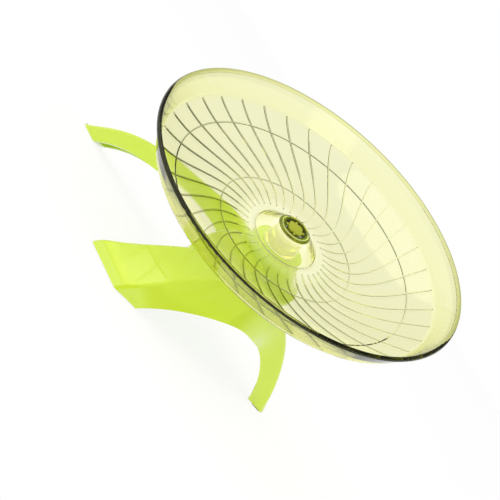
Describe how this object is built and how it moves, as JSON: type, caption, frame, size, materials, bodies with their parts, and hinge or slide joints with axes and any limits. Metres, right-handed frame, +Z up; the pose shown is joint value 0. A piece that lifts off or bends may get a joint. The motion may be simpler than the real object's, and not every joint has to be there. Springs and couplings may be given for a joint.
{
  "type": "flying saucer exercise wheel",
  "caption": "Transparent shallow dish with swirling grip ribs that spins freely on a tilted axle, carried by a moulded stand on spread legs with rubber feet.",
  "frame": {"origin": "on the floor, under the middle of the object's outline seen from above", "axes": "+Z up, +X towards the viewer's right along the object's longest extent, -Y the way the dish leans"},
  "size_m": [0.3629, 0.2756, 0.2162],
  "materials": {
    "saucer": "clear tinted moulding, polished",
    "hub_cap": "tinted moulding, polished",
    "stand": "glossy moulding",
    "zinc_steel": "zinc plated",
    "race_acetal": "natural acetal",
    "ball_steel": "ground and polished",
    "spring_steel": "oil blackened",
    "cage_nylon": "natural nylon",
    "pad_rubber": "matt"
  },
  "bodies": {
    "stand": {"stand": "stand", "axle": "zinc_steel", "shim_washer": "zinc_steel", "circlip": "spring_steel", "nut_washer": "zinc_steel", "axle_nut": "zinc_steel", "upper_inner_race": "race_acetal", "lower_inner_race": "race_acetal", "inner_spacer": "race_acetal", "foot_pad_front": "pad_rubber", "foot_pad_left": "pad_rubber", "foot_pad_right": "pad_rubber"},
    "saucer_wheel": {"saucer": "saucer", "hub_cap": "hub_cap", "upper_outer_race": "race_acetal", "lower_outer_race": "race_acetal", "upper_shields": "race_acetal", "lower_shields": "race_acetal"},
    "upper_ball_train": {"upper_cage": "cage_nylon", "upper_balls": "ball_steel"},
    "lower_ball_train": {"lower_cage": "cage_nylon", "lower_balls": "ball_steel"}
  },
  "joints": [
    {"name": "wheel_spin", "type": "hinge", "parent": "stand", "child": "saucer_wheel", "pos_m": [0.0268, -0.0004, 0.145], "axis": [0, -0.454, 0.891], "continuous": true},
    {"name": "upper_ball_train_spin", "type": "hinge", "parent": "stand", "child": "upper_ball_train", "pos_m": [0.0268, 0.01708, 0.1107], "axis": [0, -0.454, 0.891], "continuous": true},
    {"name": "lower_ball_train_spin", "type": "hinge", "parent": "stand", "child": "lower_ball_train", "pos_m": [0.0268, 0.02162, 0.10179], "axis": [0, -0.454, 0.891], "continuous": true}
  ],
  "couplings": [
    {"joint": "upper_ball_train_spin", "follows": "wheel_spin", "ratio": 0.6323},
    {"joint": "lower_ball_train_spin", "follows": "wheel_spin", "ratio": 0.6323}
  ]
}
